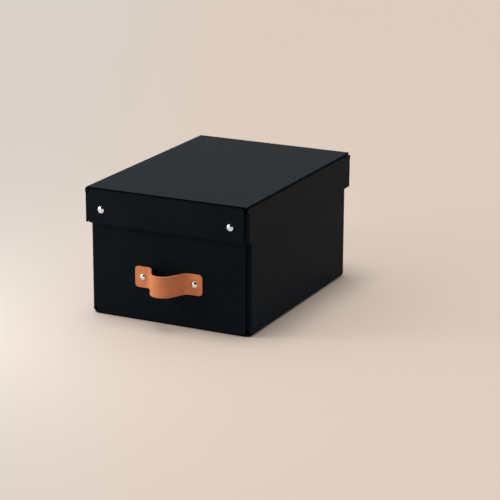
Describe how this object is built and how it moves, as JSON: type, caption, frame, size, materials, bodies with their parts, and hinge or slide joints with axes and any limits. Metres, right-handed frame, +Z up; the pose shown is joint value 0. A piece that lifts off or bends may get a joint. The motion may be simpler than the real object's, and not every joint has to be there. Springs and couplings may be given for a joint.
{
  "type": "archival box",
  "caption": "Board storage box for documents with a lift-off lid, snap-fastened corners and an arched leather strap handle on its front.",
  "frame": {"origin": "centre of the flat underside of the box", "axes": "+X to the right seen from the handle side, +Y from the handle side to the back, +Z up out of the lid"},
  "size_m": [0.25, 0.3694, 0.1845],
  "materials": {
    "covered_board": "black linen-embossed cover paper on grey board",
    "crease_paper": "black cover paper pressed into the crease",
    "strap_leather": "smooth vegetable-tanned leather with creased edges",
    "cap_chrome": "polished",
    "stud_steel": "plated steel"
  },
  "bodies": {
    "base": {"base_bottom_panel": "covered_board", "base_left_wall": "covered_board", "base_right_wall": "covered_board", "base_front_wall": "covered_board", "base_back_wall": "covered_board", "base_front_left_flap": "covered_board", "base_front_right_flap": "covered_board", "base_back_left_flap": "covered_board", "base_back_right_flap": "covered_board", "base_front_crease": "crease_paper", "base_back_crease": "crease_paper", "base_left_crease": "crease_paper", "base_right_crease": "crease_paper", "base_stud_caps": "cap_chrome", "base_cap_posts": "stud_steel", "base_sockets": "stud_steel", "base_studs": "stud_steel", "base_stud_rivets": "stud_steel", "handle_strap": "strap_leather", "handle_rivet_caps": "cap_chrome", "handle_rivet_posts": "stud_steel", "handle_washers": "stud_steel"},
    "lid": {"lid_top_panel": "covered_board", "lid_left_wall": "covered_board", "lid_right_wall": "covered_board", "lid_front_left_flap": "covered_board", "lid_front_right_flap": "covered_board", "lid_back_left_flap": "covered_board", "lid_back_right_flap": "covered_board", "lid_front_crease": "crease_paper", "lid_back_crease": "crease_paper", "lid_left_crease": "crease_paper", "lid_right_crease": "crease_paper", "lid_studs": "stud_steel", "lid_stud_rivets": "stud_steel"},
    "lid_front": {"lid_front_wall": "covered_board", "lid_front_stud_caps": "cap_chrome", "lid_front_cap_posts": "stud_steel", "lid_front_sockets": "stud_steel"},
    "lid_back": {"lid_back_wall": "covered_board", "lid_back_stud_caps": "cap_chrome", "lid_back_cap_posts": "stud_steel", "lid_back_sockets": "stud_steel"}
  },
  "joints": [
    {"name": "lid_lift", "type": "slide", "parent": "base", "child": "lid", "axis": [0, 0, 1], "range_m": [0, 0.2]},
    {"name": "lid_front_fold", "type": "hinge", "parent": "lid", "child": "lid_front", "pos_m": [0, -0.1699, 0.1823], "axis": [-1, 0, 0], "range_deg": [0, 90]},
    {"name": "lid_back_fold", "type": "hinge", "parent": "lid", "child": "lid_back", "pos_m": [0, 0.1699, 0.1823], "axis": [1, 0, 0], "range_deg": [0, 90]}
  ]
}
